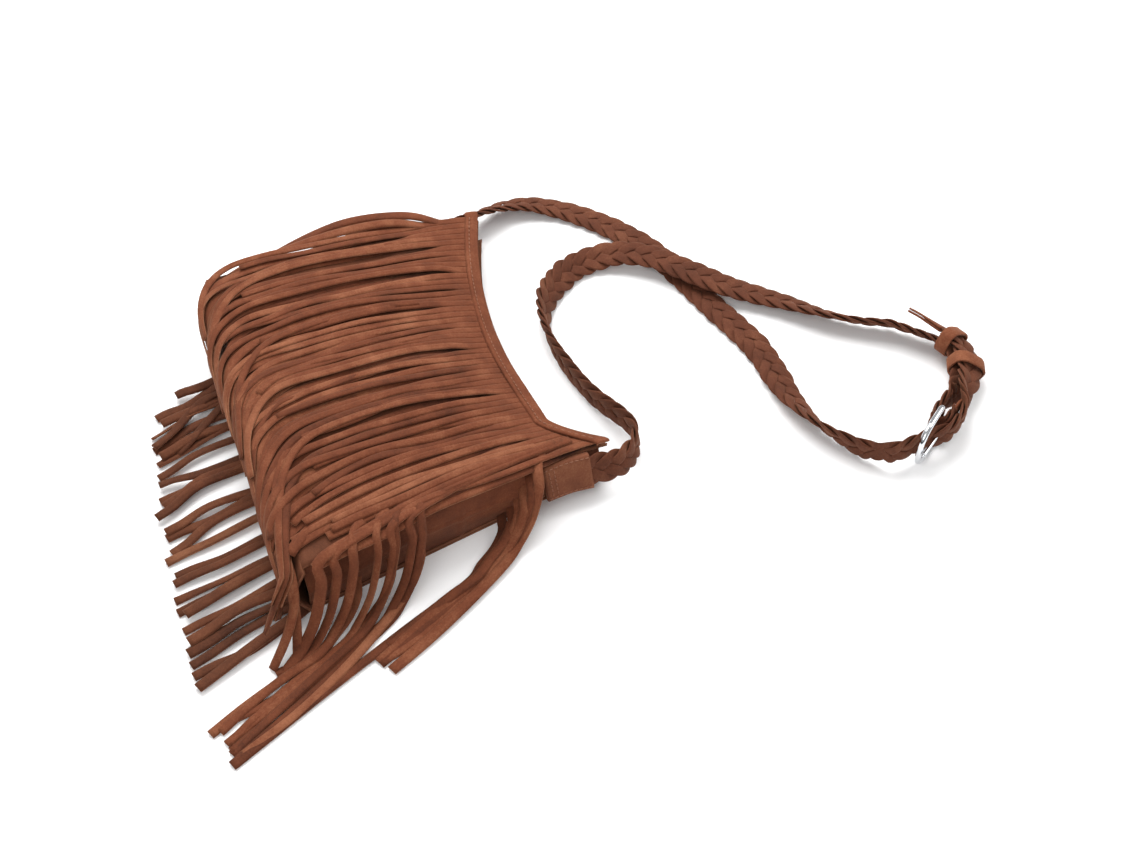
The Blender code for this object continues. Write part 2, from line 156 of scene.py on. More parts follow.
def set_camera():
    eye = Vector((0.6027, -0.1528, 0.7660))
    target = Vector((0.025, 0.129, 0.0))
    data = bpy.data.cameras.new("camera")
    data.lens = 50
    data.sensor_width = 36
    camera = bpy.data.objects.new("camera", data)
    camera.location = eye
    camera.rotation_euler = (target - eye).to_track_quat("-Z", "Y").to_euler()
    bpy.context.collection.objects.link(camera)
    bpy.context.scene.camera = camera


def area_light(name, place, aim, size, power):
    data = bpy.data.lights.new(name, "AREA")
    data.shape = "DISK"
    data.size = size
    data.energy = power
    lamp = bpy.data.objects.new(name, data)
    lamp.location = place
    lamp.rotation_euler = (Vector(aim) - Vector(place)).to_track_quat("-Z", "Y").to_euler()
    bpy.context.collection.objects.link(lamp)


def set_light():
    area_light("key", (-0.75, 0.15, 1.25), (0, 0.1, 0), 1.3, 27)
    area_light("fill", (0.9, -0.7, 1.2), (0, 0.1, 0), 1.2, 8)
    area_light("back", (0.2, 1.4, 1.0), (0, 0.1, 0), 1.0, 9)
    world = bpy.data.worlds.new("pale room")
    world.use_nodes = True
    tree = world.node_tree
    way = add_node(tree, "ShaderNodeTexCoord").outputs["Generated"]
    height = add_node(tree, "ShaderNodeSeparateXYZ", None, None, {"Vector": way}).outputs["Z"]
    sky = add_node(tree, "ShaderNodeValToRGB", None, None, {"Fac": height})
    sky.color_ramp.elements[0].position = 0.10
    sky.color_ramp.elements[0].color = (0.10, 0.10, 0.11, 1)
    sky.color_ramp.elements[1].position = 0.38
    sky.color_ramp.elements[1].color = (1, 1, 1, 1)
    tree.links.new(sky.outputs["Color"], tree.nodes["Background"].inputs["Color"])
    tree.nodes["Background"].inputs["Strength"].default_value = 0.52
    bpy.context.scene.world = world
    bpy.context.scene.view_settings.view_transform = "Standard"


def set_floor():
    bm = bmesh.new()
    bmesh.ops.create_grid(bm, x_segments=1, y_segments=1, size=6.0)
    floor = add_object("floor", bm, [floor_paint()])


# --- materials --------------------------------------------------------------------------------------------

def linear(code):
    """Linear colour of an sRGB hex code."""
    values = [int(code[k:k + 2], 16) / 255 for k in (0, 2, 4)]
    return [v / 12.92 if v <= 0.04045 else ((v + 0.055) / 1.055) ** 2.4 for v in values] + [1.0]


def add_node(tree, kind, settings=None, inputs=None, links=None):
    """Add a node, set its properties and inputs, and link inputs to other nodes' outputs."""
    node = tree.nodes.new(kind)
    for key, value in (settings or {}).items():
        setattr(node, key, value)
    for key, value in (inputs or {}).items():
        node.inputs[key].default_value = value
    for key, source in (links or {}).items():
        tree.links.new(source, node.inputs[key])
    return node


def blank(name):
    made = bpy.data.materials.new(name)
    made.use_nodes = True
    return made, made.node_tree, made.node_tree.nodes["Principled BSDF"]


def floor_paint():
    """Matt white table board."""
    made, tree, shader = blank("matt_white_board")
    shader.inputs["Base Color"].default_value = linear("FCFCFC")
    shader.inputs["Roughness"].default_value = 0.9
    return made


def per_mm(size):
    """Noise scale whose features are about this many millimetres across."""
    return 1.0 / (size * MM)


def suede_leather(name, low, middle, high, edge=False):
    """Vegetable-tanned split suede: buffed nap, so matt, blotchy, with a soft rim of light."""
    made, tree, shader = blank(name)
    where = add_node(tree, "ShaderNodeTexCoord").outputs["Object"]
    tone = add_node(tree, "ShaderNodeAttribute", {"attribute_name": "tone"}).outputs["Fac"]
    blotch = add_node(tree, "ShaderNodeTexNoise", None,
                      {"Scale": per_mm(16), "Detail": 4.0, "Roughness": 0.6}, {"Vector": where}).outputs["Fac"]
    nap = add_node(tree, "ShaderNodeTexNoise", None,
                   {"Scale": per_mm(1.1), "Detail": 5.0, "Roughness": 0.7}, {"Vector": where}).outputs["Fac"]
    fibre = add_node(tree, "ShaderNodeTexNoise", None,
                     {"Scale": per_mm(0.35), "Detail": 3.0, "Roughness": 0.6}, {"Vector": where}).outputs["Fac"]
    blotch_part = add_node(tree, "ShaderNodeMath", {"operation": "MULTIPLY"}, {1: 0.42}, {0: blotch}).outputs[0]
    nap_part = add_node(tree, "ShaderNodeMath", {"operation": "MULTIPLY_ADD"}, {1: 0.34},
                        {0: nap, 2: blotch_part}).outputs[0]
    mixed = add_node(tree, "ShaderNodeMath", {"operation": "MULTIPLY_ADD"}, {1: 0.55},
                     {0: tone, 2: nap_part}).outputs[0]
    ramp = add_node(tree, "ShaderNodeValToRGB", None, None, {"Fac": mixed})
    ramp.color_ramp.elements[0].position = 0.36
    ramp.color_ramp.elements[0].color = linear(low)
    ramp.color_ramp.elements[1].position = 0.96
    ramp.color_ramp.elements[1].color = linear(high)
    centre = ramp.color_ramp.elements.new(0.66)
    centre.color = linear(middle)
    tree.links.new(ramp.outputs["Color"], shader.inputs["Base Color"])
    height = add_node(tree, "ShaderNodeMath", {"operation": "MULTIPLY_ADD"}, {1: 0.6},
                      {0: fibre, 2: nap}).outputs[0]
    bump = add_node(tree, "ShaderNodeBump", None, {"Strength": 0.55, "Distance": 0.35 * MM}, {"Height": height})
    tree.links.new(bump.outputs["Normal"], shader.inputs["Normal"])
    shader.inputs["Roughness"].default_value = 0.86
    shader.inputs["Specular IOR Level"].default_value = 0.22
    shader.inputs["Sheen Weight"].default_value = 0.16
    shader.inputs["Sheen Roughness"].default_value = 0.45
    shader.inputs["Sheen Tint"].default_value = linear("D9A27C")
    return made


def polished_chrome():
    """Chrome plate on a cast zinc buckle: a near mirror with faint wear."""
    made, tree, shader = blank("polished_chrome_plate")
    where = add_node(tree, "ShaderNodeTexCoord").outputs["Object"]
    wear = add_node(tree, "ShaderNodeTexNoise", None, {"Scale": per_mm(2.5), "Detail": 4.0}, {"Vector": where})
    rough = add_node(tree, "ShaderNodeMapRange", None, {"To Min": 0.06, "To Max": 0.16}, {"Value": wear.outputs["Fac"]})
    tree.links.new(rough.outputs["Result"], shader.inputs["Roughness"])
    shader.inputs["Base Color"].default_value = linear("D8DADD")
    shader.inputs["Metallic"].default_value = 1.0
    return made


def waxed_thread():
    """Waxed polyester thread, a shade paler than the suede, twisted."""
    made, tree, shader = blank("waxed_sewing_thread")
    where = add_node(tree, "ShaderNodeTexCoord").outputs["Object"]
    twist = add_node(tree, "ShaderNodeTexNoise", None, {"Scale": per_mm(0.5), "Detail": 2.0}, {"Vector": where})
    ramp = add_node(tree, "ShaderNodeValToRGB", None, None, {"Fac": twist.outputs["Fac"]})
    ramp.color_ramp.elements[0].color = linear("5E3220")
    ramp.color_ramp.elements[1].color = linear("A06A4A")
    tree.links.new(ramp.outputs["Color"], shader.inputs["Base Color"])
    shader.inputs["Roughness"].default_value = 0.6
    return made


# --- mesh helpers -----------------------------------------------------------------------------------------

def add_object(name, bm, materials, smooth=True):
    mesh = bpy.data.meshes.new(name)
    bm.to_mesh(mesh)
    bm.free()
    for finish in materials:
        mesh.materials.append(finish)
    if smooth:
        mesh.shade_smooth()
    made = bpy.data.objects.new(name, mesh)
    bpy.context.collection.objects.link(made)
    return made


def thicken(piece, thickness, offset=1.0, levels=0):
    """Give a cut sheet its thickness, its cut edge taking the second material."""
    solid = piece.modifiers.new("Thickness", "SOLIDIFY")
    solid.thickness = thickness
    solid.offset = offset
    solid.material_offset_rim = 1 if len(piece.data.materials) > 1 else 0
    if levels:
        smooth = piece.modifiers.new("Smooth", "SUBSURF")
        smooth.levels = levels
        smooth.render_levels = levels


def lay_grid(bm, wide, tall, place, tone):
    """Add a grid of wide by tall cells whose corners place(i, j) puts in space."""
    layer = bm.verts.layers.float.get("tone") or bm.verts.layers.float.new("tone")
    made = bmesh.ops.create_grid(bm, x_segments=wide, y_segments=tall, size=0.5)["verts"]
    for vert in made:
        i = round((vert.co.x + 0.5) * wide)
        j = round((vert.co.y + 0.5) * tall)
        vert.co = place(i, j)
        vert[layer] = tone(i, j) if callable(tone) else tone
    return made


def lay_strip(bm, stations, width, tone, cells=3, bow=0.10):
    """Add a strip through stations of (centre, across, normal), a little bowed, with a cut end."""
    last = len(stations) - 1
    widths = width if isinstance(width, list) else [width] * (last + 1)
    bows = bow if isinstance(bow, list) else [bow] * (last + 1)

    def place(i, j):
        centre, across, normal = stations[j]
        wide = widths[j]
        a = i / cells * 2 - 1
        return centre + across * (a * wide / 2) + normal * (bows[j] * wide * (0.5 - a * a))

    return lay_grid(bm, cells, last, place, tone)


def rolled(across, normal, angle):
    """Turn a strip's cross-section about its length."""
    cos = math.cos(angle)
    sin = math.sin(angle)
    return across * cos + normal * sin, normal * cos - across * sin


def wave(x, y, seed):
    """Smooth noise between about -1 and 1."""
    return noise.noise(Vector((x, y, seed))) * 1.6


def smooth_route(points, step):
    """Points every step along a Catmull-Rom curve through the route's own points."""
    route = [Vector(p) for p in points]
    ends = [route[0] * 2 - route[1]] + route + [route[-1] * 2 - route[-2]]
    fine = []
    for a, b, c, d in zip(ends, ends[1:], ends[2:], ends[3:]):
        for k in range(24):
            t = k / 24
            fine.append(0.5 * ((2 * b) + (c - a) * t + (2 * a - 5 * b + 4 * c - d) * t * t
                               + (3 * b - a - 3 * c + d) * t ** 3))
    fine.append(route[-1])
    lengths = [0.0]
    for before, after in zip(fine, fine[1:]):
        lengths.append(lengths[-1] + (after.to_3d() - before.to_3d()).length)
    count = max(2, round(lengths[-1] / step))
    chosen = []
    at = 0
    for k in range(count + 1):
        want = lengths[-1] * k / count
        while at < len(lengths) - 2 and lengths[at + 1] < want:
            at += 1
        share = (want - lengths[at]) / max(1e-9, lengths[at + 1] - lengths[at])
        chosen.append(fine[at].lerp(fine[at + 1], min(1.0, share)))
    return chosen


# --- the body's shape -------------------------------------------------------------------------------------

def mouth_line(s):
    far = max(0.0, (0.65 - s) / 0.65)
    near = max(0.0, (s - 0.85) / 0.15)
    return MOUTH_LOW + (TOP_FAR.y - MOUTH_LOW) * far ** 2 + (TOP_NEAR.y - MOUTH_LOW) * near ** 1.3


def outline(s, v):
    low = BOTTOM_FAR.lerp(BOTTOM_NEAR, s)
    high = TOP_FAR.lerp(TOP_NEAR, s)
    return Vector((mix(low.x, high.x, v), mix(low.y, mouth_line(min(1, max(0, s))), v)))


def front_height(s, v):
    crown = 1 - (2 * s - 1) ** 2
    side = mix(SIDE_HEIGHT, SIDE_HEIGHT_MOUTH, v ** 3)
    middle = mix(MIDDLE_HEIGHT, MIDDLE_HEIGHT_MOUTH, v ** 3)
    return mix(side, middle, max(-0.25, crown))


def sag(s, v):
    """Soft hollows and swellings of the front, in metres."""
    broad = wave(s * 2.1, v * 1.7, 3.0) * 3.2 * MM
    fold = wave(s * 5.0 + v * 2.0, v * 1.2, 8.0) * 1.4 * MM
    return (broad + fold) * math.sin(math.pi * min(1, max(0, v)) * 0.9 + 0.15)


def on_front(s, v, lift):
    place = outline(s, v)
    return Vector((place.x, place.y, front_height(s, v) + sag(s, v) + lift))


def over_bottom(s, d, lift):
    """Point past the bottom edge by the distance d."""
    edge = outline(s, 0.0)
    top = front_height(s, 0.0) + sag(s, 0.0) + lift
    out = BOTTOM_BULGE + lift + SUEDE
    turn = min(1.0, d / (20 * MM)) * math.pi / 2
    drop = max(0.0, d - 20 * MM)
    beyond = max(0.0, s - 1.0) * BAG_WIDTH
    place = Vector((edge.x, edge.y - out * math.sin(turn), top - 12 * MM * (1 - math.cos(turn)) - drop))
    if beyond > 0:
        place.x -= beyond * 0.35
        place.y -= beyond * 0.75
        place.z = max(2.0 * MM + lift * 0.5, place.z - beyond * 0.9)
    return place


def on_bag(s, b, lift):
    """Point of the bag's skin: b is the distance past the bottom edge, negative on the face."""
    if b >= 0:
        return over_bottom(s, b, lift)
    height = mouth_line(min(1, max(0, s))) - outline(s, 0.0).y
    return on_front(s, min(1.0, -b / height), lift)


# --- front fringe -----------------------------------------------------------------------------------------

def skin_normal(s, b, lift):
    step = 0.004
    along = on_bag(s, b + 1 * MM, lift) - on_bag(s, b - 1 * MM, lift)
    side = on_bag(s + step, b, lift) - on_bag(s - step, b, lift)
    normal = side.cross(along)
    normal = -normal if normal.z < 0 or (abs(normal.z) < 1e-9 and normal.y > 0) else normal
    return normal.normalized()


def strip_on_bag(rng, s0, drift, lift, length, turn_at, turn, slit, seed, step=3.4 * MM):
    """Stations of one strip of the front, and how free of the sheet it is at each of them.

    It runs down the face, then round the bottom edge towards the near corner.
    """
    height = mouth_line(s0) - outline(s0, 0.0).y
    b = -height
    s = s0
    roll = rng.uniform(-0.06, 0.24)
    own = rng.uniform(0, 50)
    raise_by = rng.uniform(-0.9, 0.8) * MM
    sway = rng.uniform(0.6, 1.4)
    points = []
    freedoms = []
    travelled = 0.0
    while travelled < length:
        face = -b / height
        free = smooth_step((travelled - slit) / (18 * MM))
        heading = turn * smooth_step((b + turn_at) / (52 * MM))
        common = wave(s0 * 4.0, face * 2.4, 1.5 + seed) * 0.07
        lone = wave(own, travelled * 26.0, 4.0 + seed) * 0.11 * sway
        bend = heading + (common + lone) * free
        b += math.cos(bend) * step
        s += math.sin(bend) * step / BAG_WIDTH
        travelled += step
        high = lift + (raise_by + wave(own + 7.0, travelled * 30.0, 9.0) * 0.6 * MM) * free
        points.append((s + drift * free, b, high, (roll + wave(own, travelled * 26.0, 2.0) * 0.16) * free))
        freedoms.append(free)
    stations = []
    places = [on_bag(p[0], p[1], p[2]) for p in points]
    for k, (s, b, high, angle) in enumerate(points):
        along = (places[min(k + 1, len(places) - 1)] - places[max(k - 1, 0)]).normalized()
        normal = skin_normal(min(1.02, s), b, high)
        across = along.cross(normal).normalized()
        normal = across.cross(along).normalized()
        across, normal = rolled(across, normal, angle)
        stations.append((places[k], across, normal))
    return stations, freedoms


def strip_tone(rng):
    """A strip's own shade, from dark to light."""
    return 0.5 + rng.gauss(0, 0.09)


def front_fringe(name, count, lift, seed, node, width, keep_short, painted_shade):
    """One slit sheet of the front: whole along the mouth, then cut in strips that pass the bottom edge."""
    rng = random.Random(seed)
    bm = bmesh.new()
    for number in range(count):
        s0 = (number + 0.5) / count
        drift = rng.uniform(-0.3, 0.3) / count
        pitch = (outline(1.0, 0.9).x - outline(0.0, 0.9).x) / count
        corner = smooth_step((0.20 - s0) / 0.20)
        near = smooth_step((s0 - 0.76) / 0.18)
        slit = (8 + 20 * rng.random() ** 1.9 + 18 * corner) * MM
        height = mouth_line(s0) - outline(s0, 0.0).y
        short = rng.random() < keep_short
        length = height * rng.uniform(0.80, 0.97) if short else height + rng.uniform(38, 74) * MM
        length = mix(length, height * rng.uniform(0.86, 1.02), near)
        turn = math.radians(rng.uniform(62, 84)) * (1 - 0.7 * near)
        turn_at = rng.uniform(22, 42) * MM
        stations, freedoms = strip_on_bag(rng, s0, drift, lift, length, turn_at, turn, slit, seed)
        loose = width * rng.uniform(0.84, 1.1)
        widths = [mix(pitch * 1.04, loose, smooth_step(free * 1.6)) for free in freedoms]
        hollow = rng.uniform(-0.03, 0.10)
        bows = [hollow * free for free in freedoms]
        own = strip_tone(rng)

        def tone(i, j, own=own, freedoms=freedoms):
            """Painted shade near the mouth, where the sheet lies underneath; a strip's own tone once it is loose."""
            return mix(0.5, own, freedoms[j]) - painted_shade * (1 - smooth_step(j / 28))

        lay_strip(bm, stations, widths, tone, bow=bows)
    sheet = add_object(name, bm, [SUEDE_FACE, SUEDE_CUT])
    thicken(sheet, 1.0 * MM)
    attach(sheet, BODY)
    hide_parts(node)
    return sheet


def front_hem():
    """The folded band sewn over the fringe along the mouth, with soft creases at the far corner."""
    bm = bmesh.new()
    wide = 120
    tall = 8

    def place(i, j):
        s = -0.012 + 1.024 * i / wide
        t = j / tall
        b = HEM_DEPTH * t - (mouth_line(min(1, max(0, s))) - outline(s, 0.0).y) - 0.6 * MM
        crease = wave(s * 9.0, t * 1.5, 12.0) * 0.5 * MM
        edge = 1.2 * MM * smooth_step((t - 0.86) / 0.14)
        return on_bag(s, b, 6.6 * MM + crease - edge)

    lay_grid(bm, wide, tall, lambda i, j: place(wide - i, j), 0.5)
    hem = add_object("front_hem", bm, [SUEDE_FACE, SUEDE_CUT])
    thicken(hem, 1.0 * MM)
    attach(hem, BODY)
    return hem


# --- loose strips -----------------------------------------------------------------------------------------

def strip_along(bm, route, width, rng, twist=0.0, step=3.2 * MM, bow=0.08, tone=None):
    """Add a loose strip through a route of (x, y, z) in mm, and return its length."""
    places = smooth_route([Vector(p) * MM for p in route], step)
    own = rng.uniform(0, 90)
    stations = []
    for k, place in enumerate(places):
        t = k / (len(places) - 1)
        along = (places[min(k + 1, len(places) - 1)] - places[max(k - 1, 0)]).normalized()
        up = Vector((0, 0, 1)) if abs(along.z) < 0.9 else Vector((1, 0, 0.3))
        across = along.cross(up).normalized()
        normal = across.cross(along).normalized()
        angle = wave(own, t * 2.2, 5.0) * twist
        across, normal = rolled(across, normal, angle)
        low = width / 2 * abs(across.z) + 0.3 * MM
        centre = place.copy()
        centre.z = max(centre.z, low)
        stations.append((centre, across, normal))
    lay_strip(bm, stations, width, strip_tone(rng) if tone is None else tone, bow=bow)
    return sum((b - a).length for a, b in zip(places, places[1:]))


def back_fringe():
    """Fringe of the back: its strips come out from under the bottom edge and lie on the floor."""
    rng = random.Random(21)
    bm = bmesh.new()
    for number in range(BACK_STRIPS):
        along = number / (BACK_STRIPS - 1)
        x = mix(*BACK_TIP_X, along)
        x += rng.uniform(-2.5, 2.5)
        y = mix(*BACK_TIP_Y, along ** BACK_TIP_CURVE) + rng.uniform(0, 7)
        length = -52 - y
        lean = (0.17 + rng.gauss(0, 0.05)) * length
        root = min(76, x - lean + rng.uniform(-4, 4))
        high = rng.choice([0.5, 1.2, 2.4, 4.0])
        sway = rng.uniform(-6, 6)
        route = [(root - 2, -28, 1.2), (root, -48, 1.4), (mix(root, x, 0.3) + sway * 0.7, -52 - length * 0.27, 3.0),
                 (mix(root, x, 0.62) + sway, -52 - length * 0.6, high + 1.5),
                 (mix(root, x, 0.86) + sway * 0.2, -52 - length * 0.85, high + 0.6), (x, y, high)]
        strip_along(bm, route, rng.uniform(4.6, 6.2) * MM, rng, twist=rng.choice([0.2, 0.4, 0.9]),
                    tone=0.44 + rng.gauss(0, 0.1))
    strip_along(bm, [(-92, -52, 3), (-80, -70, 4), (-66, -88, 5), (-60, -100, 3)], 5.4 * MM, rng, twist=0.6, tone=0.3)
    strip_along(bm, [(-98, -55, 3), (-92, -75, 5), (-76, -98, 5), (-70, -112, 4)], 5.0 * MM, rng, twist=0.8, tone=0.3)
    # The back's strips take the darker copy of the suede, which is painted shade
    sheet = add_object("back_fringe_strips", bm, [SUEDE_PAINTED_SHADE, SUEDE_CUT])
    thicken(sheet, 1.3 * MM)
    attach(sheet, BODY)
    return sheet


def back_sheet(strips):
    """The plain part of the back fringe, under the bag."""
    bm = bmesh.new()
    lay_grid(bm, 60, 20, lambda i, j: Vector((*outline(1 - i / 60, 0.99 - 0.99 * j / 20), 0.2 * MM)), 0.4)
    # The darker copy of the suede here is painted shade
    sheet = add_object("back_fringe_sheet", bm, [SUEDE_PAINTED_SHADE, SUEDE_CUT])
    thicken(sheet, 1.5 * MM)
    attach(sheet, BODY)
    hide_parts("back_fringe")
    return sheet


def edge_place(y, share=1.0, out=0.0):
    """A place at the near edge: its y in mm, the share of the side's height, and how far out it is."""
    low = BOTTOM_NEAR.y / MM
    v = min(1.0, max(0.0, (y - low) / (TOP_NEAR.y / MM - low)))
    high = (front_height(1.0, v) + sag(1.0, v)) / MM
    return (outline(1.0, v).x / MM + out, y, high * share + 4.0 * share)


def fallen(start, tip, layer, bow):
    """The rest of a strip's route: it falls from start, lands and lies on the floor up to its tip."""
    x, y, z = start
    route = []
    for u in (0.3, 0.6, 0.85):
        route.append((x + FALL_OUT * u, y - FALL_ALONG * u * u, mix(z, layer, smooth_step(u))))
    land = (x + FALL_OUT * 1.15, y - FALL_ALONG * 1.1)
    for u in (0.0, 0.3, 0.65, 1.0):
        side = bow * math.sin(math.pi * u)
        route.append((mix(land[0], tip[0], u) + side, mix(land[1], tip[1], u), mix(layer, 1.0, u)))
    return route


def near_route(leave, above, share, tip, rng):
    """Route of a strip of the near side: along the edge, over it and across the floor."""
    turns = max(2, round(above / 26))
    route = []
    for k in range(turns):
        u = k / turns
        route.append(edge_place(leave + above * (1 - u), share, -9 + 11 * u * u))
    start = edge_place(leave, share, 3.0)
    tip = (tip[0] + rng.uniform(-3, 3), tip[1] + rng.uniform(-5, 5))
    return route + [start] + fallen(start, tip, rng.choice(FLOOR_LAYERS), rng.uniform(-3, 5))


def corner_route(number):
    """Route of a strip that runs along the bottom edge and drops over the near corner."""
    route = []
    for k in range(4):
        edge = outline(mix(0.70 + 0.06 * number, 1.0, k / 3), 0.0) / MM
        route.append((edge.x, edge.y - 9 + 2 * number, mix(44, 38, k / 3)))
    x, y, z = route[-1]
    tip = CORNER_TIPS[number]
    for u in (0.35, 0.7):
        route.append((mix(x, tip[0], u), mix(y, tip[1], u * u), z * (1 - u) ** 0.8))
    return route + [(*tip, 1.0)]


def near_fringe():
    """Strips that slip over the near edge, cross the floor and turn towards the bag's bottom."""
    rng = random.Random(5)
    bm = bmesh.new()
    flat_area = 0.0
    for count, width, spread, leave, above, share, tips in NEAR_BUNDLES:
        for k in range(count):
            t = k / max(1, count - 1)
            tip = (mix(tips[0][0], tips[1][0], t), mix(tips[0][1], tips[1][1], t))
            y = mix(*leave, t) + rng.uniform(-spread, spread)
            wide = width * rng.uniform(0.88, 1.12) * MM
            route = near_route(y, above, mix(*share, t), tip, rng)
            flat_area += wide * strip_along(bm, route, wide, rng, twist=0.42)
    for number in range(CORNER_STRIPS):
        wide = 5.2 * MM
        flat_area += wide * strip_along(bm, corner_route(number), wide, rng, twist=0.42)
    sheet = add_object("near_side_fringe", bm, [SUEDE_FACE, SUEDE_CUT])
    thicken(sheet, 1.2 * MM)
    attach(sheet, BODY)
    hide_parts("side_fringe_near")
    return sheet


def far_fringe():
    """Strips that have slid off the far side and hang beside it."""
    rng = random.Random(31)
    bm = bmesh.new()
    routes = [
        [(-148, 118, 34), (-158, 96, 42), (-168, 62, 43), (-168, 32, 42), (-161, -4, 39), (-155, -36, 31)],
        [(-148, 108, 36), (-155, 80, 44), (-160, 40, 45), (-160, 0, 43), (-157, -30, 38), (-148, -50, 30)],
        [(-149, 98, 37), (-156, 70, 40), (-161, 34, 34), (-161, -6, 30), (-158, -30, 24), (-153, -46, 16)],
        [(-150, 60, 36), (-157, 30, 28), (-159, -4, 20), (-157, -30, 12), (-153, -44, 6)],
    ]
    for route in routes:
        strip_along(bm, route, rng.uniform(5.6, 6.6) * MM, rng, twist=0.35)
    sheet = add_object("far_side_fringe", bm, [SUEDE_FACE, SUEDE_CUT])
    thicken(sheet, 1.3 * MM)
    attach(sheet, BODY)
    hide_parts("side_fringe_far")
    return sheet


# --- panels -----------------------------------------------------------------------------------------------

def panel(name, wide, tall, place, finish, node, thickness=SUEDE):
    bm = bmesh.new()
    lay_grid(bm, wide, tall, place, 0.42)
    made = add_object(name, bm, [finish, SUEDE_CUT])
    thicken(made, thickness)
    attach(made, BODY)
    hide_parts(node)
    return made


def body_panels():
    # Front and back panels take the darker copy of the suede, which is painted shade
    panel("front_suede_panel", 70, 50, lambda i, j: on_front(i / 70, j / 50, 0.0), SUEDE_PAINTED_SHADE, "front_panel")
    level = SUEDE + 0.4 * MM
    panel("back_suede_panel", 70, 40,
          lambda i, j: Vector((*outline(i / 70, j / 40 * 1.012), level + 3.5 * MM * (j / 40) ** 6)),
          SUEDE_PAINTED_SHADE, "back_panel")

    def near(i, j):
        v = mix(0.0, 0.97, i / 150)
        h = j / 28
        edge = outline(1.0, v)
        top = front_height(1.0, v) + sag(1.0, v) - 0.6 * MM
        fold = wave(v * 4.0, h * 1.4, 20.0) * 2.2 * MM * math.sin(math.pi * h)
        bow = 3.0 * MM * math.sin(math.pi * h)
        seam = 0.9 * MM * (math.exp(-((edge.y / MM - 33) / 1.4) ** 2) + math.exp(-((h - 0.52) / 0.028) ** 2))
        return Vector((edge.x - 2.6 * MM + bow + fold + seam, edge.y, mix(4.4 * MM, top, h)))

    def far(i, j):
        v = mix(0.97, 0.0, i / 60)
        h = j / 14
        edge = outline(0.0, v)
        top = front_height(0.0, v) + sag(0.0, v) - 0.6 * MM
        fold = wave(v * 4.0, h * 1.4, 30.0) * 1.8 * MM * math.sin(math.pi * h)
        bow = 3.0 * MM * math.sin(math.pi * h)
        return Vector((edge.x + 2.6 * MM - bow - fold, edge.y, mix(4.4 * MM, top, h)))

    def bottom(i, j):
        s = mix(-0.012, 1.012, i / 70)
        h = j / 14
        edge = outline(s, 0.0)
        top = front_height(s, 0.0) + sag(s, 0.0) - 0.6 * MM
        bow = BOTTOM_BULGE * math.sin(math.pi * h) - 1.0 * MM
        fold = wave(s * 6.0, h * 1.2, 25.0) * 1.2 * MM * math.sin(math.pi * h)
        return Vector((edge.x, edge.y - bow - fold, mix(4.4 * MM, top, h)))

    panel("near_side_gusset", 150, 28, near, SUEDE_FACE, "side_gusset_near")
    # The far and bottom gussets take the darker copy of the suede, painted shade; the near one keeps the face suede
    panel("far_side_gusset", 60, 14, far, SUEDE_PAINTED_SHADE, "side_gusset_far")
    panel("bottom_suede_gusset", 70, 14, bottom, SUEDE_PAINTED_SHADE, "bottom_gusset")


# --- strap ------------------------------------------------------------------------------------------------

def rest_height(tilt):
    wide = BRAID_WIDTH / 2 * abs(math.sin(tilt))
    thick = BRAID_THICKNESS / 2 * abs(math.cos(tilt))
    return wide + thick + 0.3 * MM


def stations_of(route, step, lift=0.0):
    """Strap stations (centre, across, normal) from (x, y, height, tilt) points in mm and degrees."""
    fine = smooth_route([Vector(p) for p in route], step)
    made = []
    for number, point in enumerate(fine):
        tilt = math.radians(point[3])
        before = fine[max(number - 1, 0)].to_3d() * MM
        after = fine[min(number + 1, len(fine) - 1)].to_3d() * MM
        before.z = after.z = 0.0
        along = (after - before).normalized()
        side = Vector((along.y, -along.x, 0)).normalized()
        up = Vector((0, 0, 1))
        across = side * math.cos(tilt) - up * math.sin(tilt)
        normal = -along.cross(across).normalized()
        centre = point.to_3d() * MM
        centre.z = max(centre.z, rest_height(tilt))
        made.append((centre + normal * lift, across, normal))
    return made


def buckle_place(along, out, height=0.0):
    cos = math.cos(BUCKLE_ANGLE)
    sin = math.sin(BUCKLE_ANGLE)
    return BAR_FOOT + Vector((along * cos - out * sin, along * sin + out * cos, height))


def upright_stations(places, step):
    fine = smooth_route([Vector((u, v, 0)) for u, v in places], step)
    points = [buckle_place(p.x * MM, p.y * MM) for p in fine]
    made = []
    for number, point in enumerate(points):
        along = (points[min(number + 1, len(points) - 1)] - points[max(number - 1, 0)]).normalized()
        made.append((point, Vector((0, 0, 1)), Vector((along.y, -along.x, 0))))
    return made


def aligned(stations):
    made = [stations[0]]
    for centre, across, normal in stations[1:]:
        if across.dot(made[-1][1]) < 0:
            across = -across
            normal = -normal
        made.append((centre, across, normal))
    return made


def evened(stations, step):
    """Stations a constant step apart, with their turns smoothed."""
    stations = aligned(stations)
    made = []
    lengths = [0.0]
    for before, after in zip(stations, stations[1:]):
        lengths.append(lengths[-1] + (after[0] - before[0]).length)
    count = round(lengths[-1] / step)
    at = 0
    for k in range(count + 1):
        want = lengths[-1] * k / count
        while at < len(lengths) - 2 and lengths[at + 1] < want:
            at += 1
        share = min(1.0, (want - lengths[at]) / max(1e-9, lengths[at + 1] - lengths[at]))
        a = stations[at]
        b = stations[at + 1]
        made.append(tuple(a[n].lerp(b[n], share) for n in range(3)))
    for turn in range(3):
        made = [tuple((made[max(k - 1, 0)][n] + made[k][n] * 2 + made[min(k + 1, len(made) - 1)][n]) / 4
                      for n in range(3)) for k in range(len(made))]
    return [(c, a.normalized(), n.normalized()) for c, a, n in made], lengths[-1]


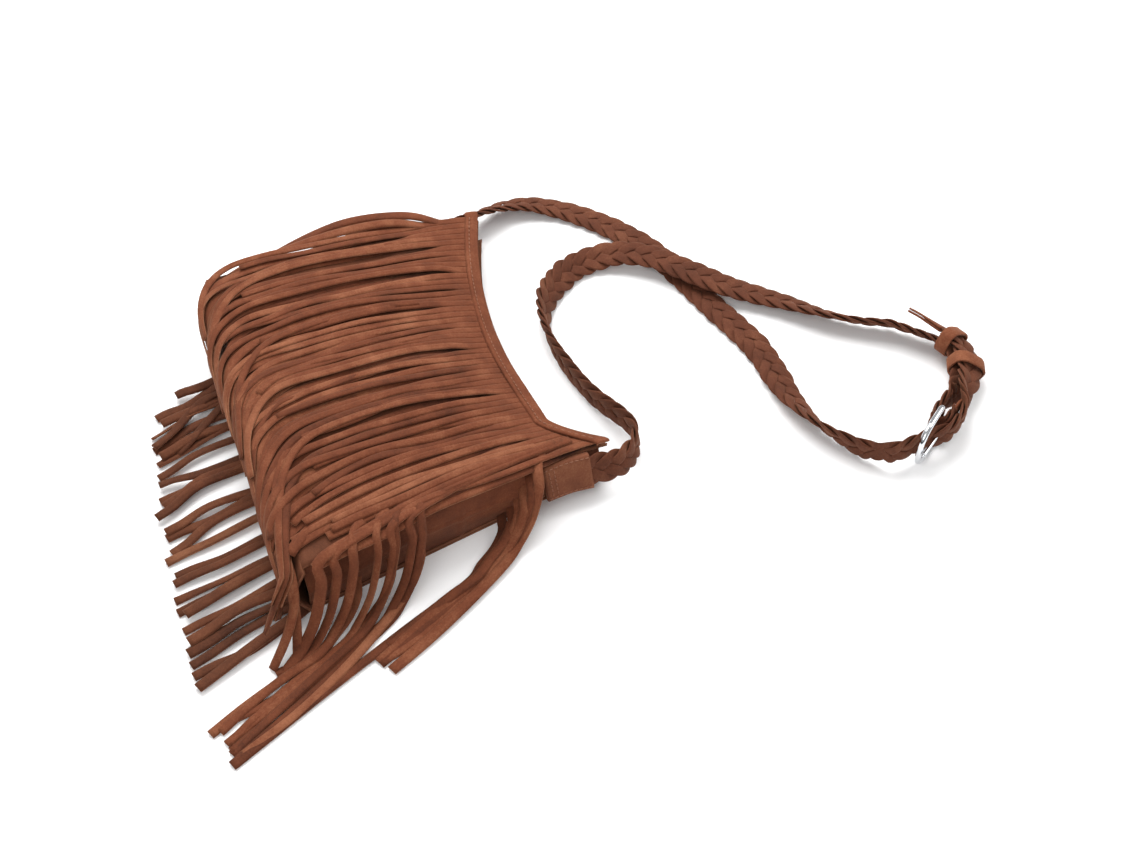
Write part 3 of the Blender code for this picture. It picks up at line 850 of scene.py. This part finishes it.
def sweep(bm, rings, tone, closed=False):
    """Skin over rings of points: each ring is a loop of the same count."""
    layer = bm.verts.layers.float.get("tone") or bm.verts.layers.float.new("tone")
    sides = len(rings[0])
    loops = []
    for ring in rings:
        verts = bmesh.ops.create_circle(bm, segments=sides, radius=1.0)["verts"]
        for vert, place in zip(verts, ring):
            vert.co = place
            vert[layer] = tone
        loops.append(verts)
    pairs = list(zip(loops, loops[1:])) + ([(loops[-1], loops[0])] if closed else [])
    faces = []
    for low, high in pairs:
        for k in range(sides):
            n = (k + 1) % sides
            faces.append(bm.faces.new((low[k], low[n], high[n], high[k])))
    if not closed:
        faces.append(bm.faces.new(loops[0][::-1]))
        faces.append(bm.faces.new(loops[-1]))
    bmesh.ops.recalc_face_normals(bm, faces=faces)


def braid(name, stations, seed):
    """A flat braid of five soft strips over a line of stations."""
    rng = random.Random(seed)
    even, length = evened(stations, 1.9 * MM)
    reach = (BRAID_WIDTH - STRAND_WIDTH * 0.92) / 2
    rise = (BRAID_THICKNESS - STRAND_THICKNESS) / 2
    profile = [(math.cos(2 * math.pi * (k + 0.5) / 10), math.sin(2 * math.pi * (k + 0.5) / 10)) for k in range(10)]
    bm = bmesh.new()
    for strand in range(STRANDS):
        tone = 0.47 + rng.gauss(0, 0.07)
        own = rng.uniform(0, 40)
        rings = []
        for k, (centre, across, normal) in enumerate(even):
            run = length * k / (len(even) - 1)
            theta = 2 * math.pi * (run / BRAID_PITCH + strand / STRANDS)
            slip = wave(own, run * 30, 3.0) * 0.5 * MM
            x = reach * (math.sin(theta) - 0.08 * math.sin(3 * theta)) + slip
            h = rise * math.sin(2 * theta) * 1.12
            tip = 0.30 * math.cos(2 * theta) * math.cos(theta)
            wide = STRAND_WIDTH / 2 * (1 - 0.16 * abs(math.sin(theta)) ** 6) * (1 + 0.06 * wave(own, run * 45, 8.0))
            flat_a = across * math.cos(tip) + normal * math.sin(tip)
            flat_n = normal * math.cos(tip) - across * math.sin(tip)
            here = centre + across * x + normal * h
            ring = []
            for c, d in profile:
                c = math.copysign(abs(c) ** 0.75, c)
                ring.append(here + flat_a * (c * wide) + flat_n * (d * STRAND_THICKNESS / 2))
            rings.append(ring)
        sweep(bm, rings, tone)
    for vert in bm.verts:
        vert.co.z = max(vert.co.z, 0.3 * MM)
    made = add_object(name, bm, [SUEDE_BRAID])
    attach(made, BODY)
    return made, [s[0] for s in even], length


def spaced(points, count=36):
    """Some of a line's points, spread evenly."""
    return [tuple(points[round(k * (len(points) - 1) / (count - 1))]) for k in range(count)]


def make_straps():
    pair_near = stations_of(PAIR, 2.0, -LAYER)
    pair_far = stations_of(PAIR, 2.0, LAYER)[::-1]
    near_line = stations_of([NEAR_START] + NEAR_LEAD, 2.5) + pair_near[1:] + upright_stations(NEAR_FOLD, 1.5)
    near, near_path, near_length = braid("near_braided_strap", near_line, 3)
    far_line = stations_of([FAR_START] + FAR_LEAD, 2.5) + upright_stations(FAR_THREAD, 2.5) + pair_far[1:-5]
    far, far_path, far_length = braid("far_braided_strap", far_line, 4)
    return near, near_path, near_length, far, far_path, far_length


def band_rings(stations, width, thickness, soft=0.9 * MM):
    """Rounded rectangular cross-sections for a band of leather."""
    rings = []
    for centre, across, normal in stations:
        ring = []
        for sx, sy in ((1, 1), (-1, 1), (-1, -1), (1, -1)):
            core_x = sx * (width / 2 - soft)
            core_y = sy * (thickness / 2 - min(soft, thickness / 2))
            for k in range(3):
                turn = math.atan2(sy, sx) - math.pi / 4 + math.pi / 4 * k
                ring.append(centre + across * (core_x + soft * math.cos(turn))
                            + normal * (core_y + min(soft, thickness / 2) * math.sin(turn)))
        rings.append(ring)
    return rings


def pair_middle(share, lift=0.0):
    pair = aligned(stations_of(PAIR, 6.0, lift))
    return pair[round(share * (len(pair) - 1))]


def keeper(name, share, seed):
    """A loop of suede around both straps, a little slack and crooked."""
    rng = random.Random(seed)
    centre, across, normal = pair_middle(share)
    along = across.cross(normal).normalized()
    half_width = 19 * MM / 2 + KEEPER_GAP
    half_stack = 2 * LAYER + KEEPER_GAP
    corner = 7.0 * MM
    count = 44
    lean = rng.uniform(-0.10, 0.10)
    stations = []
    for k in range(count):
        angle = 2 * math.pi * (k + 0.5) / count
        out = across * math.cos(angle) + normal * math.sin(angle)
        slack = wave(math.cos(angle) * 1.4, math.sin(angle) * 1.4, seed) * 0.5 * MM
        core = (across * math.copysign(half_width - corner, math.cos(angle)) * min(1, abs(math.cos(angle)) * 6)
                + normal * math.copysign(half_stack - corner, math.sin(angle)) * min(1, abs(math.sin(angle)) * 6))
        place = centre + core + out * (corner + slack) + along * (lean * half_width * math.cos(angle))
        stations.append((place, along, out))
    bm = bmesh.new()
    sweep(bm, band_rings(stations, KEEPER_WIDTH, 1.5 * MM, 0.5 * MM), 0.62, closed=True)
    made = add_object(name, bm, [SUEDE_FACE])
    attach(made, BODY)
    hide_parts(name.replace("_loop", ""))
    return made


def pointed(stations, width, point):
    """Widths of a band whose last stretch narrows to a blunt point."""
    lengths = [0.0]
    for before, after in zip(stations, stations[1:]):
        lengths.append(lengths[-1] + (after[0] - before[0]).length)
    return [width * min(1.0, 0.14 + 0.86 * (lengths[-1] - run) / point) for run in lengths]


def leather_tongue(name, layers, width, thickness, point, node=None):
    """Flat layers of suede, each with the same pointed end."""
    bm = bmesh.new()
    for stations in layers:
        rings = []
        for station, wide in zip(stations, pointed(stations, width, point)):
            rings += band_rings([station], max(2.4 * MM, wide), thickness, min(0.8 * MM, thickness / 2))
        sweep(bm, rings, 0.5)
    made = add_object(name, bm, [SUEDE_FACE])
    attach(made, BODY)
    if node:
        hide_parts(node)
    return made


def strap_tip():
    route = [TIP_START] + TIP_LEAD
    layers = [aligned(stations_of(route, 1.4, LAYER + shift * MM)) for shift in (-0.9, 0.9)]
    return leather_tongue("strap_tip", layers, 15 * MM, 1.5 * MM, 12 * MM, "strap_point")


def fold_tongue():
    stations = aligned(upright_stations([(-6, 4.9), (-12, 5.0), (-19, 5.3), (-26, 5.0)], 1.4))
    return leather_tongue("fold_end", [stations], 13 * MM, 1.8 * MM, 9 * MM)


def wire(name, places, radius, closed):
    """Round chrome wire through places (along, out, up) about the buckle's bar."""
    points = [buckle_place(x, y, z) for x, y, z in places]
    last = len(points) - 1
    rings = []
    lead = Vector((0, 0, 1))
    for k, point in enumerate(points):
        before = points[k - 1] if (closed or k) else point
        after = points[(k + 1) % len(points)] if (closed or k < last) else point
        along = (after - before).normalized()
        side = along.cross(lead)
        side = along.orthogonal() if side.length < 0.15 else side
        side.normalize()
        up = side.cross(along).normalized()
        if rings:
            earlier = (rings[-1][0] - points[k - 1]).normalized()
            side = (earlier - along * earlier.dot(along)).normalized()
            up = side.cross(along).normalized()
        rings.append([point + side * (radius * math.cos(2 * math.pi * n / 20))
                      + up * (radius * math.sin(2 * math.pi * n / 20)) for n in range(20)])
    bm = bmesh.new()
    sweep(bm, rings, 0.5, closed=closed)
    return add_object(name, bm, [CHROME])


def rounded(start, end, count):
    """Numbers from start to end in even steps."""
    return [mix(start, end, k / count) for k in range(count + 1)]


def buckle():
    corner = FRAME_CORNER
    inner = 3.2 * MM
    places = []
    for z in rounded(inner - FRAME_HALF, FRAME_HALF - inner, 6):
        places.append((0.0, 0, z))
    for turn in rounded(math.pi, math.pi / 2, 6)[1:]:
        places.append((inner + inner * math.cos(turn), 0, FRAME_HALF - inner + inner * math.sin(turn)))
    for x in rounded(inner, FRAME_DEPTH - corner, 5)[1:]:
        places.append((x, 0, FRAME_HALF))
    for turn in rounded(math.pi / 2, 0, 14)[1:]:
        places.append((FRAME_DEPTH - corner + corner * math.cos(turn), 0,
                       FRAME_HALF - corner + corner * math.sin(turn)))
    for turn in rounded(0, -math.pi / 2, 14)[1:]:
        places.append((FRAME_DEPTH - corner + corner * math.cos(turn), 0,
                       corner - FRAME_HALF + corner * math.sin(turn)))
    for x in rounded(FRAME_DEPTH - corner, inner, 5)[1:]:
        places.append((x, 0, -FRAME_HALF))
    for turn in rounded(-math.pi / 2, -math.pi, 6)[1:-1]:
        places.append((inner + inner * math.cos(turn), 0, inner - FRAME_HALF + inner * math.sin(turn)))
    frame_ring = wire("chrome_buckle_frame", places, 1.95 * MM, True)
    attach(frame_ring, BODY)
    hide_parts("buckle_frame")
    eye = [(PRONG_EYE * math.cos(t), PRONG_EYE * math.sin(t), 0)
           for t in rounded(math.radians(420), math.radians(95), 26)]
    shank = [(x, PRONG_EYE + 0.5 * MM * math.sin(math.pi * (x - 1 * MM) / FRAME_DEPTH), 0)
             for x in rounded(1 * MM, FRAME_DEPTH + 1.6 * MM, 16)]
    prong = wire("chrome_buckle_prong", eye + shank, PRONG, False)
    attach(prong, "prong")
    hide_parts("buckle_prong")
    return frame_ring, prong


# --- tabs and stitches ------------------------------------------------------------------------------------

def corner_tab(name, route, node):
    """The folded suede tab that holds a strap's end to a top corner."""
    stations = aligned(stations_of(route, 1.8))
    bm = bmesh.new()
    sweep(bm, band_rings(stations, 23 * MM, 6.0 * MM, 1.6 * MM), 0.5)
    made = add_object(name, bm, [SUEDE_TAB])
    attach(made, BODY)
    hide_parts(node)
    return made


def stitch(bm, start, end, normal, radius=0.36 * MM):
    """One stitch: a short bowed thread lying on the leather."""
    along = (end - start).normalized()
    side = along.cross(normal).normalized()
    rings = []
    for k in range(5):
        t = k / 4
        bow = math.sin(math.pi * t)
        centre = start.lerp(end, t) + normal * (radius * (0.9 * bow - 0.5))
        thick = radius * (0.55 + 0.45 * bow)
        rings.append([centre + side * (thick * math.cos(math.pi * n / 3)) + normal * (thick * math.sin(math.pi * n / 3))
                      for n in range(6)])
    sweep(bm, rings, 0.5)


def tab_stitches():
    bm = bmesh.new()
    for route in (NEAR_TAB, FAR_TAB):
        stations = aligned(stations_of(route, 3.4))
        for side in (1, -1):
            for edge in (-1, 1):
                for a, b in zip(stations, stations[1:]):
                    places = [s[0] + s[1] * (edge * 9.6 * MM) + s[2] * (side * 3.05 * MM) for s in (a, b)]
                    stitch(bm, places[0].lerp(places[1], 0.12), places[0].lerp(places[1], 0.88), a[2] * side)
            for row in (0, 1):
                s = stations[1 + row]
                for k in range(6):
                    across = mix(-8.4, 8.4, (k + 0.5) / 6) * MM
                    place = s[0] + s[2] * (side * 3.05 * MM)
                    stitch(bm, place + s[1] * (across - 1.1 * MM), place + s[1] * (across + 1.1 * MM), s[2] * side)
    made = add_object("tab_stitches", bm, [THREAD])
    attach(made, BODY)


def hem_stitches():
    bm = bmesh.new()
    count = 62
    for k in range(count):
        s = mix(0.01, 0.99, (k + 0.5) / count)
        ends = []
        for shift in (-0.36, 0.36):
            t = s + shift / count
            back = mouth_line(t) - outline(t, 0.0).y
            ends.append(on_bag(t, 5.6 * MM - back, 8.0 * MM))
        stitch(bm, ends[0], ends[1], skin_normal(s, -0.1, 8 * MM))
    made = add_object("hem_stitches", bm, [THREAD])
    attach(made, BODY)


# --- making -----------------------------------------------------------------------------------------------

SUEDE_FACE = suede_leather("split_suede", "2E140A", "6A3822", "996346")
# A darker copy of the face suede: painted shade for the back, the hidden front panel, the far and bottom gussets and
# the back fringe
SUEDE_PAINTED_SHADE = suede_leather("split_suede_painted_shade", "30170D", "613723", "8A5B40")
SUEDE_CUT = suede_leather("split_suede_cut_edge", "4A2817", "7C4D35", "AE7F5F")
SUEDE_BRAID = suede_leather("braided_suede", "2A130A", "5A3120", "85553D")
SUEDE_TAB = suede_leather("doubled_suede", "3C1E11", "6F402B", "9A674A")
CHROME = polished_chrome()
THREAD = waxed_thread()

set_camera()
near_strap, near_path, near_length, far_strap, far_path, far_length = make_straps()
frame_ring, prong = buckle()
loops = [keeper("keeper_tip_side_loop", 0.25, 11), keeper("keeper_buckle_side_loop", 0.62, 12)]
tip = strap_tip()
fold_end = fold_tongue()
near_tab = corner_tab("near_corner_tab", NEAR_TAB, "corner_tab_near")
far_tab = corner_tab("far_corner_tab", FAR_TAB, "corner_tab_far")
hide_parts("strap_near")
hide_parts("strap_far")
tuple(near_path[0])
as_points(spaced(near_path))
tuple(far_path[0])
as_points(spaced(far_path))
tab_stitches()
body_panels()
# The under sheet gets painted shade near the mouth, the over sheet none
front_fringe("front_fringe_under", 40, 2.4 * MM, 101, "front_fringe_long", 5.7 * MM, 0.05, 0.6)
front_fringe("front_fringe_over", 46, 4.7 * MM, 202, "front_fringe_short", 4.25 * MM, 0.22, 0.0)
front_hem()
back_sheet(back_fringe())
near_fringe()
far_fringe()
hem_stitches()
set_light()
set_floor()
